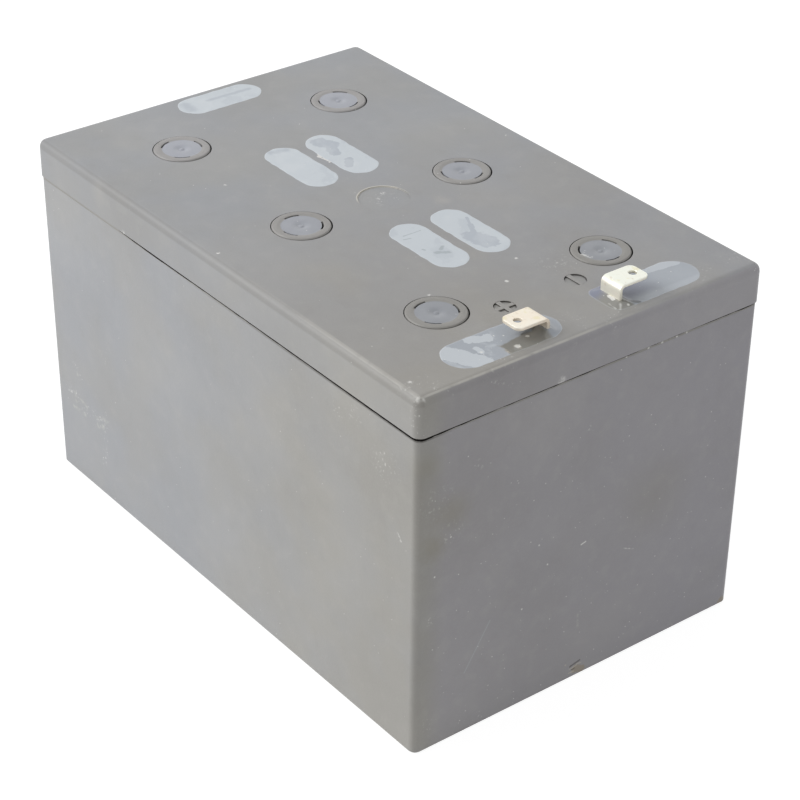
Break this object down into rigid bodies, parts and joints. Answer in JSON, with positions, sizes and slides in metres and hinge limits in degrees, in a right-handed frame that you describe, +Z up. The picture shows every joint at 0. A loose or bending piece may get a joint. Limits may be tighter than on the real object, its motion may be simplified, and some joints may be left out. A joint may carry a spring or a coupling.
{
  "type": "sealed lead-acid battery",
  "caption": "Grey box-shaped sealed lead-acid battery with a bonded lid, round slotted vent covers, resin-filled windows and two push-on blade terminals at one end.",
  "frame": {"origin": "centre of the base", "axes": "+X along the length towards the terminal end, +Y across the width towards the negative terminal's side, +Z up"},
  "size_m": [0.152, 0.098, 0.0978],
  "materials": {
    "case_plastic": "moulded grey plastic, lightly scuffed",
    "lid_plastic": "moulded grey plastic, lightly scuffed",
    "vent_plastic": "moulded grey plastic, smooth middle",
    "valve_rubber": "black moulded rubber",
    "positive_lead": "brown pasted plates on cast lead",
    "negative_lead": "grey pasted plates on cast lead",
    "glass_mat": "white glass fibre mat",
    "link_lead": "burned lead",
    "potting_resin": "cast milky resin",
    "terminal_metal": "tin plated"
  },
  "bodies": {
    "root": {"case": "case_plastic", "lid": "lid_plastic", "vent_covers": "vent_plastic", "valve_discs": "valve_rubber", "link_potting": "potting_resin", "positive_plates_1": "positive_lead", "negative_plates_1": "negative_lead", "separators_1": "glass_mat", "positive_plates_2": "positive_lead", "negative_plates_2": "negative_lead", "separators_2": "glass_mat", "positive_plates_3": "positive_lead", "negative_plates_3": "negative_lead", "separators_3": "glass_mat", "positive_plates_4": "positive_lead", "negative_plates_4": "negative_lead", "separators_4": "glass_mat", "positive_plates_5": "positive_lead", "negative_plates_5": "negative_lead", "separators_5": "glass_mat", "positive_plates_6": "positive_lead", "negative_plates_6": "negative_lead", "separators_6": "glass_mat", "cell_link_1": "link_lead", "cell_link_2": "link_lead", "cell_link_3": "link_lead", "cell_link_4": "link_lead", "cell_link_5": "link_lead", "positive_terminal": "terminal_metal", "positive_terminal_potting": "potting_resin", "negative_terminal": "terminal_metal", "negative_terminal_potting": "potting_resin"}
  },
  "joints": []
}
